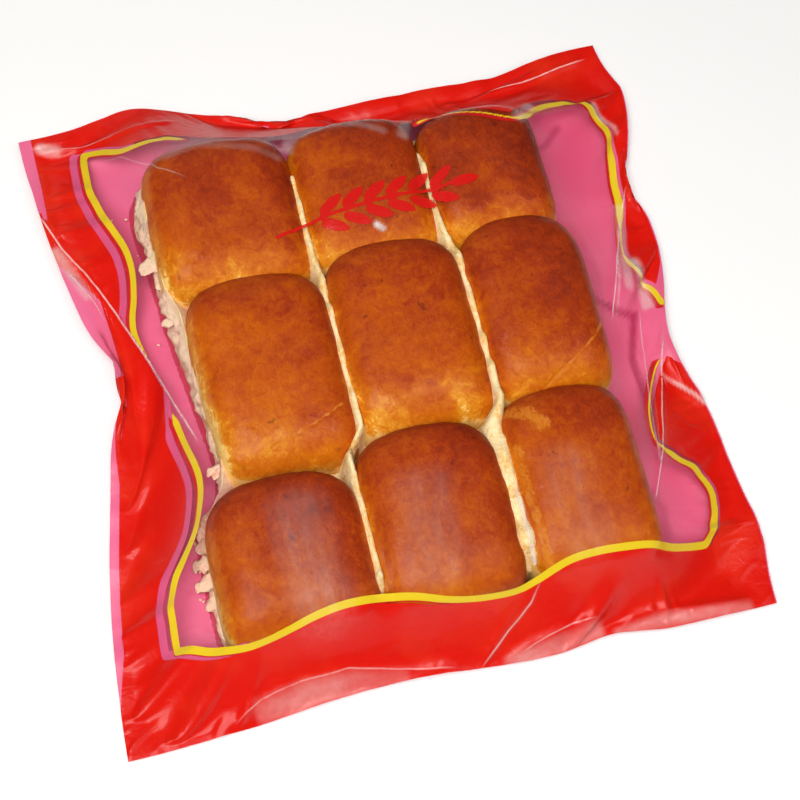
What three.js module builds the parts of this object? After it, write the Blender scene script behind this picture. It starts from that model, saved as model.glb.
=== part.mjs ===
// Bagged bread rolls: a pull-apart block of nine soft rolls, three columns by three rows, in a flat
// printed film bag that is sealed all round and lies on its back. Millimetres, +Z up, +X to the bag's
// right and +Y to its far seal. The origin is under the middle of the bag, on the surface it lies on.
// The bag and what it holds are one closed solid: the front film is stretched over the crowns of the
// rolls and down to the seals, and the back film lies flat under the block and rises to the seals.

import * as THREE from 'three';

// ---------------------------------------------------------------- bag

const sealThickness = 1.2; // two films pressed together, drawn thick enough to be a solid
const filmGap = 0.6; // the front film's height above the crust that it touches

const corners = {
  nearLeft: [-170, -175.5],
  nearRight: [158, -172],
  farRight: [164, 168],
  farLeft: [-166, 168],
};

// Where the film is drawn in from a straight side: the middle of the pull along the side, how deep it
// goes and how far it spreads. A negative depth is a place where the side bulges outwards.
const gathers = {
  near: [
    { at: -45, depth: 6, spread: 60 },
    { at: 72, depth: 4, spread: 20 },
  ],
  right: [
    { at: -20, depth: 11.5, spread: 34 },
    { at: 75, depth: 8, spread: 17 },
    { at: 133, depth: -7.5, spread: 30 },
    { at: -135, depth: -3.5, spread: 30 },
  ],
  far: [
    { at: 20, depth: 15, spread: 85 },
    { at: -28, depth: 13, spread: 15 },
    { at: 100, depth: 5, spread: 30 },
    { at: -100, depth: -9, spread: 35 },
  ],
  left: [
    { at: 8, depth: 20, spread: 90 },
    { at: 14, depth: 11, spread: 22 },
  ],
};

// How high the middle of the seal stands at each side, and how much a pull lifts it for each
// millimetre that it draws the side in.
const sealHeight = { near: 3, right: 6, far: 8, left: 4 };
const liftPerGather = 0.25;

// ---------------------------------------------------------------- rolls

const rollBase = 14; // where a roll is widest, so its crust rounds off above this height
const nearRoundness = 8; // exponent of the rounded rectangle that the near half of a roll fills in plan
const farRoundness = 4.6; // and of its far half, whose corners are rounder
const crownRoundness = 4.6; // exponent of the roll's rise from its side to its crown
const farBow = 7; // how much further the middle of a roll's far side reaches than its corners
const nearDrop = 7; // how much lower the crust runs out at the near end than at the far one
const dropCurve = 2.2; // exponent of that fall, which is gentle at the far end

// Each roll by its sides in plan and the height of its crown.
const rolls = [
  { name: 'farLeft', left: -109, right: -29.5, near: 38, far: 129, crown: 50.5 },
  { name: 'farMiddle', left: -32, right: 39.5, near: 42, far: 127, crown: 49.5 },
  { name: 'farRight', left: 37.5, right: 104, near: 42, far: 122, crown: 50.5 },
  { name: 'middleLeft', left: -103, right: -28, near: -62, far: 47, crown: 51 },
  { name: 'middleMiddle', left: -30.5, right: 43.5, near: -55, far: 52, crown: 52 },
  { name: 'middleRight', left: 41.5, right: 108, near: -51, far: 53, crown: 51 },
  { name: 'nearLeft', left: -115, right: -37.5, near: -144, far: -58, crown: 50.5 },
  { name: 'nearMiddle', left: -39.5, right: 34.5, near: -145, far: -49, crown: 51.5 },
  { name: 'nearRight', left: 35.5, right: 104, near: -144, far: -46, crown: 50.5 },
];

// ---------------------------------------------------------------- mesh fineness

const cellsAcross = 64;
const cellsAlong = 66;
const relaxRounds = 700;
const overRelax = 1.7; // speeds the stretching of the film
const sag = 0.3; // how far the film hangs below the mean of its neighbours in the net
const sagOnBlock = 0.25; // share of that hang where the film lies over the rolls
const backRings = [0.97, 0.9, 0.82]; // loops of the back film, as shares of the way out to the seal

const pull = (list, s) =>
  list.reduce((sum, g) => sum + g.depth * Math.exp(-(((s - g.at) / g.spread) ** 2)), 0);

// A point of one side of the bag, t from 0 to 1 along it. The pulls fade out at the corners.
function sidePoint(side, start, end, t) {
  const x = start[0] + (end[0] - start[0]) * t;
  const y = start[1] + (end[1] - start[1]) * t;
  const fade = Math.min(1, 12 * t * (1 - t));
  const alongX = side === 'near' || side === 'far';
  const depth = fade * pull(gathers[side], alongX ? x : y);
  const inward = { near: [0, 1], right: [-1, 0], far: [0, -1], left: [1, 0] }[side];
  const height = sealHeight[side] + liftPerGather * Math.abs(depth);
  return new THREE.Vector3(x + inward[0] * depth, y + inward[1] * depth, height);
}

const nearSide = (t) => sidePoint('near', corners.nearLeft, corners.nearRight, t);
const farSide = (t) => sidePoint('far', corners.farLeft, corners.farRight, t);
const leftSide = (t) => sidePoint('left', corners.nearLeft, corners.farLeft, t);
const rightSide = (t) => sidePoint('right', corners.nearRight, corners.farRight, t);

// The corner heights where two sides meet are the mean of both.
function cornerPoint(a, b) {
  return a.clone().add(b).multiplyScalar(0.5);
}

const cornerPoints = {
  nearLeft: cornerPoint(nearSide(0), leftSide(0)),
  nearRight: cornerPoint(nearSide(1), rightSide(0)),
  farLeft: cornerPoint(farSide(0), leftSide(1)),
  farRight: cornerPoint(farSide(1), rightSide(1)),
};

// Fills the inside of the four sides with a smooth patch: across and along run from 0 to 1.
function patchPoint(across, along) {
  const near = nearSide(across);
  const far = farSide(across);
  const left = leftSide(along);
  const right = rightSide(along);
  const ruledAlong = near.multiplyScalar(1 - along).add(far.multiplyScalar(along));
  const ruledAcross = left.multiplyScalar(1 - across).add(right.multiplyScalar(across));
  const bilinear = new THREE.Vector3()
    .addScaledVector(cornerPoints.nearLeft, (1 - across) * (1 - along))
    .addScaledVector(cornerPoints.nearRight, across * (1 - along))
    .addScaledVector(cornerPoints.farLeft, (1 - across) * along)
    .addScaledVector(cornerPoints.farRight, across * along);
  return ruledAlong.add(ruledAcross).sub(bilinear);
}

// Height of the crust over a point in plan, or 0 outside every roll.
function crustHeight(x, y) {
  let height = 0;
  for (const roll of rolls) {
    const u = Math.abs((2 * x - roll.left - roll.right) / (roll.right - roll.left));
    const far = roll.far - farBow * u * u;
    const v = (2 * y - roll.near - far) / (far - roll.near);
    const farShare = (Math.min(Math.max(v, -1), 1) + 1) / 2;
    const roundness = nearRoundness + (farRoundness - nearRoundness) * farShare;
    const reach = (u ** roundness + Math.abs(v) ** roundness) ** (1 / roundness);
    if (reach < 1) {
      const rise = (1 - reach ** crownRoundness) ** (1 / crownRoundness);
      const top = roll.crown - rollBase - nearDrop * (1 - farShare) ** dropCurve;
      height = Math.max(height, rollBase + top * rise);
    }
  }
  return height;
}

// The front film: a net of points pinned at the seals, stretched wherever no roll holds it up, with
// slack that lets it hang at the sides of the block and a little of it between the rolls.
function frontFilm() {
  const net = [];
  for (let j = 0; j <= cellsAlong; j++) {
    for (let i = 0; i <= cellsAcross; i++) {
      net.push(patchPoint(i / cellsAcross, j / cellsAlong));
    }
  }
  const crust = net.map((p) => crustHeight(p.x, p.y));
  const floor = crust.map((height) => height + filmGap);
  const hang = crust.map((height) => (height > 0 ? sag * sagOnBlock : sag));
  const row = cellsAcross + 1;
  for (let round = 0; round < relaxRounds; round++) {
    for (let j = 1; j < cellsAlong; j++) {
      for (let i = 1; i < cellsAcross; i++) {
        const k = j * row + i;
        const mean = (net[k - 1].z + net[k + 1].z + net[k - row].z + net[k + row].z) / 4;
        net[k].z = Math.max(floor[k], net[k].z + overRelax * (mean - hang[k] - net[k].z));
      }
    }
  }
  return net;
}

// Indices of the points of the net's rim, anticlockwise from above.
function rimIndices() {
  const row = cellsAcross + 1;
  const rim = [];
  for (let i = 0; i < cellsAcross; i++) rim.push(i);
  for (let j = 0; j < cellsAlong; j++) rim.push(j * row + cellsAcross);
  for (let i = cellsAcross; i > 0; i--) rim.push(cellsAlong * row + i);
  for (let j = cellsAlong; j > 0; j--) rim.push(j * row);
  return rim;
}

// The whole bag: front film, a thin wall round the seal, and the back film as loops that come down
// to the surface it lies on and close in one flat face. It is centred over the origin at the end.
function bagGeometry() {
  const points = frontFilm();
  const faces = [];
  const row = cellsAcross + 1;
  for (let j = 0; j < cellsAlong; j++) {
    for (let i = 0; i < cellsAcross; i++) {
      const k = j * row + i;
      if ((i + j) % 2) faces.push([k, k + 1, k + row], [k + 1, k + row + 1, k + row]);
      else faces.push([k, k + 1, k + row + 1], [k, k + row + 1, k + row]);
    }
  }
  let loop = rimIndices();
  const seal = loop.map((k) => points[k].clone());
  const addLoop = (place) => {
    const next = seal.map((p, n) => points.push(place(p, n)) - 1);
    next.forEach((k, n) => {
      const m = (n + 1) % next.length;
      faces.push([loop[n], k, next[m]], [loop[n], next[m], loop[m]]);
    });
    loop = next;
  };
  addLoop((p) => new THREE.Vector3(p.x, p.y, p.z - sealThickness));
  backRings.forEach((share, n) => {
    const drop = (1 - (n + 1) / backRings.length) ** 2;
    addLoop((p) => new THREE.Vector3(p.x * share, p.y * share, (p.z - sealThickness) * drop));
  });
  const middle = points.push(new THREE.Vector3(0, 0, 0)) - 1;
  loop.forEach((k, n) => faces.push([k, middle, loop[(n + 1) % loop.length]]));

  const geometry = new THREE.BufferGeometry();
  geometry.setAttribute('position', new THREE.Float32BufferAttribute(points.flatMap((p) => p.toArray()), 3));
  geometry.setIndex(faces.flat());
  geometry.computeVertexNormals();
  geometry.computeBoundingBox();
  const { min, max } = geometry.boundingBox;
  return geometry.translate(-(min.x + max.x) / 2, -(min.y + max.y) / 2, 0);
}

const printedFilm = new THREE.MeshStandardMaterial({ color: 0xe2301f, roughness: 0.25, metalness: 0 });
const bag = new THREE.Mesh(bagGeometry(), printedFilm);
bag.name = 'bag';

const part = new THREE.Group();
part.add(bag);

export default part;
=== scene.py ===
# Bagged bread rolls: nine pull-apart rolls in a flat printed film bag that lies on its back.
import math

import bpy
import numpy as np
from mathutils import Matrix, Vector
from mathutils.bvhtree import BVHTree


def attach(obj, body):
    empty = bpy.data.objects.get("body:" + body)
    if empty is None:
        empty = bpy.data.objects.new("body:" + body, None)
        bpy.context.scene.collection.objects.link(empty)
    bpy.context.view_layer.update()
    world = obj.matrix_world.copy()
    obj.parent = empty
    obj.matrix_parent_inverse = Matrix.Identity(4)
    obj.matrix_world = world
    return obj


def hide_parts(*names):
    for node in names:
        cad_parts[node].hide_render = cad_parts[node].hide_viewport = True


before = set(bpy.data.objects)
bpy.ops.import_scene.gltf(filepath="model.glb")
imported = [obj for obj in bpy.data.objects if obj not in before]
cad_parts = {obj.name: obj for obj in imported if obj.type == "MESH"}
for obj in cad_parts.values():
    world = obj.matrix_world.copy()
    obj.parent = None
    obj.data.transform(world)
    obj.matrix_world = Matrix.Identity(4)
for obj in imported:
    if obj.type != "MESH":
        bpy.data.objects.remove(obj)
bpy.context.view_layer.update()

mm = 0.001  # sizes below are in millimetres, and Blender works in metres


def srgb(red, green, blue):  # a colour as a paint chart gives it, 0 to 255, made linear for Blender
    return tuple(((c / 255 + 0.055) / 1.055) ** 2.4 if c > 10 else c / 255 / 12.92
                 for c in (red, green, blue)) + (1.0,)


class Field:
    # A number in a node tree, so that sums in the trees below read as sums.
    def __init__(self, tree, socket):
        self.tree = tree
        self.socket = socket

    def math(self, operation, *others, clamp=False):
        node = self.tree.nodes.new("ShaderNodeMath")
        node.operation = operation
        node.use_clamp = clamp
        for slot, value in zip(node.inputs, (self, *others)):
            plug(self.tree, value, slot)
        return Field(self.tree, node.outputs[0])

    def __add__(self, other):
        return self.math("ADD", other)

    __radd__ = __add__

    def __sub__(self, other):
        return self.math("SUBTRACT", other)

    def __rsub__(self, other):
        return (self * -1.0).math("ADD", other)

    def __mul__(self, other):
        return self.math("MULTIPLY", other)

    __rmul__ = __mul__

    def __truediv__(self, other):
        return self.math("DIVIDE", other)

    def __pow__(self, other):
        return self.math("POWER", other)

    def abs(self):
        return self.math("ABSOLUTE")

    def clamp(self):
        return self.math("ADD", 0.0, clamp=True)

    def most(self, other):
        return self.math("MAXIMUM", other)

    def least(self, other):
        return self.math("MINIMUM", other)

    def ramp(self, low, high, toLow=0.0, toHigh=1.0):  # eases from toLow to toHigh
        node = self.tree.nodes.new("ShaderNodeMapRange")
        node.interpolation_type = "SMOOTHSTEP"
        for slot, value in zip(node.inputs, (self, low, high, toLow, toHigh)):
            plug(self.tree, value, slot)
        return Field(self.tree, node.outputs[0])


def plug(tree, value, slot):
    if isinstance(value, Field):
        tree.links.new(value.socket, slot)
    elif isinstance(value, bpy.types.NodeSocket):
        tree.links.new(value, slot)
    else:
        slot.default_value = value


def addNode(tree, kind, inputs=None, **settings):
    node = tree.nodes.new(kind)
    for name, value in settings.items():
        setattr(node, name, value)
    for name, value in (inputs or {}).items():
        plug(tree, value, node.inputs[name])
    return node


def newObject(name, mesh, *materials):
    for material in materials:
        mesh.materials.append(material)
    piece = bpy.data.objects.new(name, mesh)
    bpy.context.scene.collection.objects.link(piece)
    return piece


def newMesh(name, points, faces):  # points in millimetres
    mesh = bpy.data.meshes.new(name)
    mesh.from_pydata((np.asarray(points) * mm).tolist(), [], faces)
    mesh.polygons.foreach_set("use_smooth", [True] * len(mesh.polygons))
    return mesh


def gridFaces(rows, columns):
    index = np.arange(rows * columns).reshape(rows, columns)
    corners = [index[:-1, :-1], index[:-1, 1:], index[1:, 1:], index[1:, :-1]]
    return np.stack([c.ravel() for c in corners], 1)


def storeNumbers(mesh, name, values):
    mesh.attributes.new(name, "FLOAT", "POINT").data.foreach_set("value", values.astype(np.float32).ravel())


def newMaterial(name):
    material = bpy.data.materials.new(name)
    material.use_nodes = True
    tree = material.node_tree
    tree.nodes.clear()
    return material, tree


def readField(tree, name):
    return Field(tree, addNode(tree, "ShaderNodeAttribute", attribute_name=name).outputs["Fac"])


def objectPlace(tree, scale, turn):
    # Object coordinates, stretched and turned about the upright.
    place = addNode(tree, "ShaderNodeTexCoord").outputs["Object"]
    mapping = addNode(tree, "ShaderNodeMapping", {"Vector": place})
    mapping.inputs["Scale"].default_value = scale
    mapping.inputs["Rotation"].default_value = (0, 0, turn)
    return mapping.outputs[0]


def noiseField(tree, size, detail=3.0, roughness=0.5, where=None, distortion=0.0):
    # size is that of one patch of the pattern, in millimetres
    if where is None:
        where = addNode(tree, "ShaderNodeTexCoord").outputs["Object"]
    node = addNode(tree, "ShaderNodeTexNoise", {
        "Vector": where, "Scale": 1 / (size * mm), "Detail": detail, "Roughness": roughness,
        "Distortion": distortion})
    return Field(tree, node.outputs[0])


def colorRamp(tree, position, stops):
    node = addNode(tree, "ShaderNodeValToRGB", {"Fac": position})
    ramp = node.color_ramp
    while len(ramp.elements) < len(stops):
        ramp.elements.new(0.5)
    for element, (place, color) in zip(ramp.elements, stops):
        element.position = place
        element.color = color
    return node.outputs["Color"]


def objectAxis(tree, axis):  # place along x, y or z in millimetres
    place = addNode(tree, "ShaderNodeTexCoord").outputs["Object"]
    return Field(tree, addNode(tree, "ShaderNodeSeparateXYZ", {"Vector": place}).outputs[axis]) / mm


def bumped(tree, height, strength, distance):
    return addNode(tree, "ShaderNodeBump", {
        "Height": height, "Strength": strength, "Distance": distance}).outputs[0]


def mixColor(tree, share, first, second):
    node = addNode(tree, "ShaderNodeMix", data_type="RGBA")
    plug(tree, share, node.inputs[0])
    plug(tree, first, node.inputs[6])
    plug(tree, second, node.inputs[7])
    return node.outputs[2]


def mixShader(tree, share, first, second):
    node = addNode(tree, "ShaderNodeMixShader", {0: share, 1: first, 2: second})
    return node.outputs[0]


def finishMaterial(tree, shader):
    output = addNode(tree, "ShaderNodeOutputMaterial")
    tree.links.new(shader, output.inputs["Surface"])


crustLook = {
    "cream": srgb(238, 196, 112),
    "paleGold": srgb(216, 144, 34),
    "gold": srgb(196, 104, 6),
    "amber": srgb(179, 78, 4),
    "brown": srgb(153, 50, 9),
    "bare": srgb(206, 128, 40),
    "darkBrown": srgb(112, 27, 9),
    "speck": srgb(84, 22, 10),
    "patchSize": 26, "mottleSize": 5, "fibreSize": 2.2, "poreSize": 1.1, "speckSize": 6,
    "patchShare": 0.62, "mottleShare": 0.50, "fibreShare": 0.28, "poreShare": 0.16,
    # browner towards the far side and the right: partly baking, partly painted shade of the sides turned
    # from the key light
    "browning": 0.58, "browningAndShadeToFar": 0.12, "browningAndShadeToRight": 0.09,
    # where the crust stays pale: how uneven the edge is, where it starts and ends, and how much paler it is
    "paleEdges": {
        "near": (1.0, -0.40, -1.0, 0.32),
        "left": (0.35, -0.82, -1.0, 0.36),
        "right": (-0.3, 0.86, 1.0, 0.30),
        "far": (0.3, 0.90, 1.0, 0.18),
        "low": (0.3, 0.40, 0.0, 0.30),
    },
    "roughness": 0.4, "specular": 0.12,
}


def makeCrust():
    look = crustLook
    material, tree = newMaterial("bakedCrust")
    front = readField(tree, "front")  # -1 at the near side of a roll and 1 at its far side
    side = readField(tree, "side")  # -1 at its left and 1 at its right
    lift = readField(tree, "lift")  # 0 where the crust starts low on the side, 1 at the crown
    tone = readField(tree, "tone")  # how much darker than the others this roll is
    nearGold = readField(tree, "nearGold")  # how far its near end stayed pale
    torn = readField(tree, "torn")  # 1 where the crust is scuffed off
    patches = noiseField(tree, look["patchSize"], 3.0, 0.55, distortion=0.4)
    mottle = noiseField(tree, look["mottleSize"], 5.0, 0.65, distortion=0.8)
    grain = objectPlace(tree, (1, 0.5, 1), 0.3)
    fibres = noiseField(tree, look["fibreSize"], 4.0, 0.65, where=grain, distortion=1.0)
    pores = noiseField(tree, look["poreSize"], 2.0, 0.6)
    # partly painted shade: the crust darkens towards the far side and the right
    browning = tone + look["browning"] + front * look["browningAndShadeToFar"] + side * look["browningAndShadeToRight"]
    for noise, name in ((patches, "patch"), (mottle, "mottle"), (fibres, "fibre"), (pores, "pore")):
        browning = browning + (noise - 0.5) * look[name + "Share"]
    edgeNoise = (patches - 0.5) * 0.45 + (mottle - 0.5) * 0.3
    places = {"near": front, "left": side, "right": side, "far": front, "low": lift}
    for name, (uneven, start, end, paler) in look["paleEdges"].items():
        pale = (places[name] + edgeNoise * uneven).ramp(start, end) * paler
        browning = browning - (pale * nearGold if name == "near" else pale)
    color = colorRamp(tree, browning.clamp(), [
        (0.0, look["cream"]), (0.10, look["paleGold"]), (0.30, look["gold"]),
        (0.52, look["amber"]), (0.74, look["brown"]), (1.0, look["darkBrown"])])
    specks = noiseField(tree, look["speckSize"], 1.0).ramp(0.74, 0.78)
    color = mixColor(tree, specks * lift * 0.55, color, look["speck"])
    bare = (torn + (mottle - 0.5) * 2.2 + (fibres - 0.5) * 1.2).ramp(0.6, 1.0) * torn.ramp(0.1, 0.5) * 0.75
    color = mixColor(tree, bare, color, mixColor(tree, fibres.ramp(0.35, 0.65), look["gold"], look["bare"]))
    height = mottle * 0.5 + pores * 0.3 + fibres * 0.5 - bare * 0.5
    rough = (mottle * 0.22 + look["roughness"]).clamp()
    shader = addNode(tree, "ShaderNodeBsdfPrincipled", {
        "Base Color": color, "Roughness": rough, "Specular IOR Level": look["specular"],
        "Normal": bumped(tree, height, 0.5, 0.001)})
    finishMaterial(tree, shader.outputs[0])
    return material


# Sides in plan and height of the crown, in millimetres. leftSlant is how much further right the left side
# runs at the near end than at the far end, and tone is how much browner the roll is than the others.
rolls = {
    "rollFarLeft": dict(left=-109, right=-29.5, near=38, far=129, crown=50.5, tone=0.10, seed=1),
    "rollFarMiddle": dict(left=-32, right=39.5, near=42, far=127, crown=49.5, tone=0.09, seed=2),
    "rollFarRight": dict(left=37.5, right=104, near=42, far=122, crown=50.5, tone=0.20, seed=3),
    "rollMiddleLeft": dict(left=-101.5, right=-28, near=-62, far=47, crown=51, tone=0.0, seed=4, leftSlant=5,
                           farRoundness=4.2, nearGold=0.55),
    "rollMiddleMiddle": dict(left=-30.5, right=43.5, near=-55, far=52, crown=52, tone=0.03, seed=5,
                             farRoundness=4.2),
    "rollMiddleRight": dict(left=41.5, right=108, near=-51, far=53, crown=51, tone=0.14, seed=6,
                            farRoundness=2.8),
    "rollNearLeft": dict(left=-115, right=-37.5, near=-144, far=-62, crown=50.5, tone=0.11, seed=7,
                         nearGold=0.15, farRoundness=3.2),
    "rollNearMiddle": dict(left=-39.5, right=34.5, near=-145, far=-51.5, crown=51.5, tone=0.08, seed=8,
                           nearGold=0.1, farRoundness=3.3),
    "rollNearRight": dict(left=35.5, right=104, near=-144, far=-46, crown=50.5, tone=0.03, seed=9,
                          nearGold=0.3),
}

rollShape = {
    "cuts": 64,  # faces along each edge of the block that a roll is rounded from
    "base": 14,  # height where a roll is widest
    "bottom": 0.9,
    "farBow": 7,
    "nearDrop": 7,  # how much lower the crust runs out at the near end than at the far one
    "leftSlant": 0,
    "nearRoundness": 8,  # the far side is rounder in plan than the near one
    "farRoundness": 4.6,
    "crownRoundness": 4.6,
    "swell": 1.3,  # broad unevenness of the crust
    "pucker": 0.35,  # small unevenness
    "crustStart": 26,  # height where the crust starts at the side
    "nearGold": 1.0,
}

unevenSizes = {"swell": 30, "pucker": 6}  # the size of one patch of each


def makeRollTree():
    tree = bpy.data.node_groups.new("rollTree", "GeometryNodeTree")
    names = ["left", "right", "near", "far", "crown", "tone", "seed"]
    names += [name for name in rollShape if name != "cuts"]
    tree.interface.new_socket("Geometry", in_out="INPUT", socket_type="NodeSocketGeometry")
    for name in names:
        tree.interface.new_socket(name, in_out="INPUT", socket_type="NodeSocketFloat")
    tree.interface.new_socket("cuts", in_out="INPUT", socket_type="NodeSocketInt")
    tree.interface.new_socket("crust", in_out="INPUT", socket_type="NodeSocketMaterial")
    tree.interface.new_socket("Geometry", in_out="OUTPUT", socket_type="NodeSocketGeometry")
    given = addNode(tree, "NodeGroupInput")
    size = {name: Field(tree, given.outputs[name]) for name in names}
    cube = addNode(tree, "GeometryNodeMeshCube", {"Size": (2, 2, 2)})
    for name in ("Vertices X", "Vertices Y", "Vertices Z"):
        tree.links.new(given.outputs["cuts"], cube.inputs[name])
    position = addNode(tree, "GeometryNodeInputPosition").outputs[0]
    place = addNode(tree, "ShaderNodeSeparateXYZ", {"Vector": position})
    x, y, z = (Field(tree, place.outputs[i]) for i in range(3))
    farShare = (y / (x.abs() + y.abs() + z.abs())) * 0.5 + 0.5
    roundness = size["nearRoundness"] + (size["farRoundness"] - size["nearRoundness"]) * farShare
    plan = (x.abs() ** roundness + y.abs() ** roundness) ** (size["crownRoundness"] / roundness)
    reach = (plan + z.abs() ** size["crownRoundness"]) ** (size["crownRoundness"] ** -1.0)
    side, front, up = x / reach, y / reach, z / reach
    far = size["far"] - size["farBow"] * side * side
    alongY = size["near"] + (far - size["near"]) * (front * 0.5 + 0.5)
    left = size["left"] + size["leftSlant"] * (front * -0.5)
    alongX = left + (size["right"] - left) * (side * 0.5 + 0.5)
    drop = size["nearDrop"] * ((1.0 - front) * 0.5) ** 2.2
    above = size["base"] + (size["crown"] - size["base"] - drop) * up.most(0.0)
    height = above + size["base"] * (up * 1.35).most(-1.0).least(0.0)  # steep sides and a flat bottom
    lift = (height - size["crustStart"]) / (size["crown"] - size["crustStart"])
    kept = cube.outputs["Mesh"]
    marks = (("lift", lift.clamp()), ("front", front), ("side", side), ("tone", size["tone"]),
             ("nearGold", size["nearGold"]))
    for name, value in marks:
        kept = addNode(tree, "GeometryNodeStoreNamedAttribute", {
            "Geometry": kept, "Name": name, "Value": value}).outputs[0]
    spot = addNode(tree, "ShaderNodeCombineXYZ", {"X": alongX * mm, "Y": alongY * mm, "Z": height * mm})
    rounded = addNode(tree, "GeometryNodeSetPosition", {"Geometry": kept, "Position": spot.outputs[0]})
    offset = None
    for name, patch in unevenSizes.items():
        noise = addNode(tree, "ShaderNodeTexNoise", {
            "Vector": position, "W": size["seed"], "Scale": 1 / (patch * mm), "Detail": 1.5},
            noise_dimensions="4D")
        push = (Field(tree, noise.outputs[0]) - 0.5) * size[name] * (2 * mm)
        offset = push if offset is None else offset + push
    normal = addNode(tree, "GeometryNodeInputNormal").outputs[0]
    along = addNode(tree, "ShaderNodeVectorMath", {0: normal}, operation="SCALE")
    tree.links.new(offset.socket, along.inputs["Scale"])
    uneven = addNode(tree, "GeometryNodeSetPosition", {
        "Geometry": rounded.outputs[0], "Offset": along.outputs[0]})
    # nothing of a roll reaches below its flat bottom
    settled = addNode(tree, "ShaderNodeSeparateXYZ", {"Vector": position})
    raised = Field(tree, settled.outputs[2]).most(size["bottom"] * mm)
    rest = addNode(tree, "ShaderNodeCombineXYZ", {
        "X": settled.outputs[0], "Y": settled.outputs[1], "Z": raised})
    flat = addNode(tree, "GeometryNodeSetPosition", {
        "Geometry": uneven.outputs[0], "Position": rest.outputs[0]})
    smooth = addNode(tree, "GeometryNodeSetShadeSmooth", {"Geometry": flat.outputs[0]})
    real = addNode(tree, "GeometryNodeRealizeInstances", {"Geometry": smooth.outputs[0]})
    painted = addNode(tree, "GeometryNodeSetMaterial", {"Geometry": real.outputs[0]})
    tree.links.new(given.outputs["crust"], painted.inputs["Material"])
    output = addNode(tree, "NodeGroupOutput")
    tree.links.new(painted.outputs[0], output.inputs["Geometry"])
    return tree


def bakeTree(name, tree, values):
    # Runs a geometry node tree on an empty mesh and keeps the result as a plain mesh.
    carrier = newObject(name + "Carrier", bpy.data.meshes.new(name + "Carrier"))
    modifier = carrier.modifiers.new("shape", "NODES")
    modifier.node_group = tree
    for item in tree.interface.items_tree:
        if item.item_type == "SOCKET" and item.in_out == "INPUT" and item.name in values:
            modifier[item.identifier] = values[item.name]
    depsgraph = bpy.context.evaluated_depsgraph_get()
    evaluated = carrier.evaluated_get(depsgraph)
    baked = bpy.data.meshes.new_from_object(evaluated, preserve_all_data_layers=True, depsgraph=depsgraph)
    carrier.modifiers.remove(modifier)
    bpy.data.objects.remove(carrier)
    baked.name = name
    return newObject(name, baked)


# Scuffs and cracks of the crust by the roll they are on: path in plan, half width and depth.
scuffs = {
    "rollMiddleRight": [([(68, -46), (84, -37), (98, -27), (104, -20)], 0.9, 0.9)],
    "rollMiddleLeft": [([(-74, -51), (-60, -46), (-48, -42), (-36, -36)], 0.9, 0.9)],
    "rollNearRight": [([(44, -58), (52, -62), (57, -70)], 4.4, 0.25),
                      ([(42, -78), (42, -110), (43, -140)], 2.4, 0.1)],
}
scuffsAbove = 30  # height from which a scuff marks the crust


def pathPlace(points, path):
    # Distance from an open path in plan, the side of it (positive on its left), and the place along it.
    x, y = points[..., 0], points[..., 1]
    near = np.full(x.shape, 1e9)
    side = np.zeros(x.shape)
    along = np.zeros(x.shape)
    before = 0.0
    for (x0, y0), (x1, y1) in zip(path[:-1], path[1:]):
        length = math.hypot(x1 - x0, y1 - y0)
        ex, ey = (x1 - x0) / length, (y1 - y0) / length
        t = (x - x0) * ex + (y - y0) * ey
        inside = np.clip(t, 0, length)
        away = np.hypot(x - x0 - inside * ex, y - y0 - inside * ey)
        closer = away < near
        near = np.where(closer, away, near)
        side = np.where(closer, ex * (y - y0) - ey * (x - x0), side)
        along = np.where(closer, before + t, along)
        before += length
    return near, side, along, before


def scuffCrust(piece, marks):
    points = np.empty(len(piece.data.vertices) * 3)
    piece.data.vertices.foreach_get("co", points)
    points = points.reshape(-1, 3) / mm
    torn = np.zeros(len(points))
    for path, half, depth in marks:
        near = pathPlace(points, path)[0]
        high = points[:, 2] > scuffsAbove
        torn = np.maximum(torn, np.clip(1.6 - near / half, 0, 1) * high)
        points[:, 2] -= depth * np.clip(1 - near / half, 0, 1) * high
    piece.data.vertices.foreach_set("co", (points * mm).ravel())
    storeNumbers(piece.data, "torn", torn)


crust = makeCrust()
rollTree = makeRollTree()
rollPieces = []
for rollName, sizes in rolls.items():
    values = {name: float(value) for name, value in {**rollShape, **sizes}.items()}
    values["cuts"] = rollShape["cuts"]
    values["crust"] = crust
    rollPieces.append(bakeTree(rollName, rollTree, values))
    scuffCrust(rollPieces[-1], scuffs.get(rollName, []))
print("rolls", len(rollPieces), "faces", sum(len(r.data.polygons) for r in rollPieces))

crumbLook = {
    "pale": srgb(250, 228, 176),
    "cream": srgb(242, 200, 124),
    "shade": srgb(216, 150, 66),
    # the torn side, painted pink for the light that the back film throws on it
    "pink": srgb(255, 214, 186), "pinkPale": srgb(255, 228, 190), "pinkShade": srgb(238, 160, 128),
    "sideFrom": (-90, -98),  # it is pink left of these places and below these heights, in two soft steps
    "pinkBelow": (37, 30),
    "fibreSize": 2.6, "broadSize": 11,
    "roughness": 0.85, "specular": 0.2,
}


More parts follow.
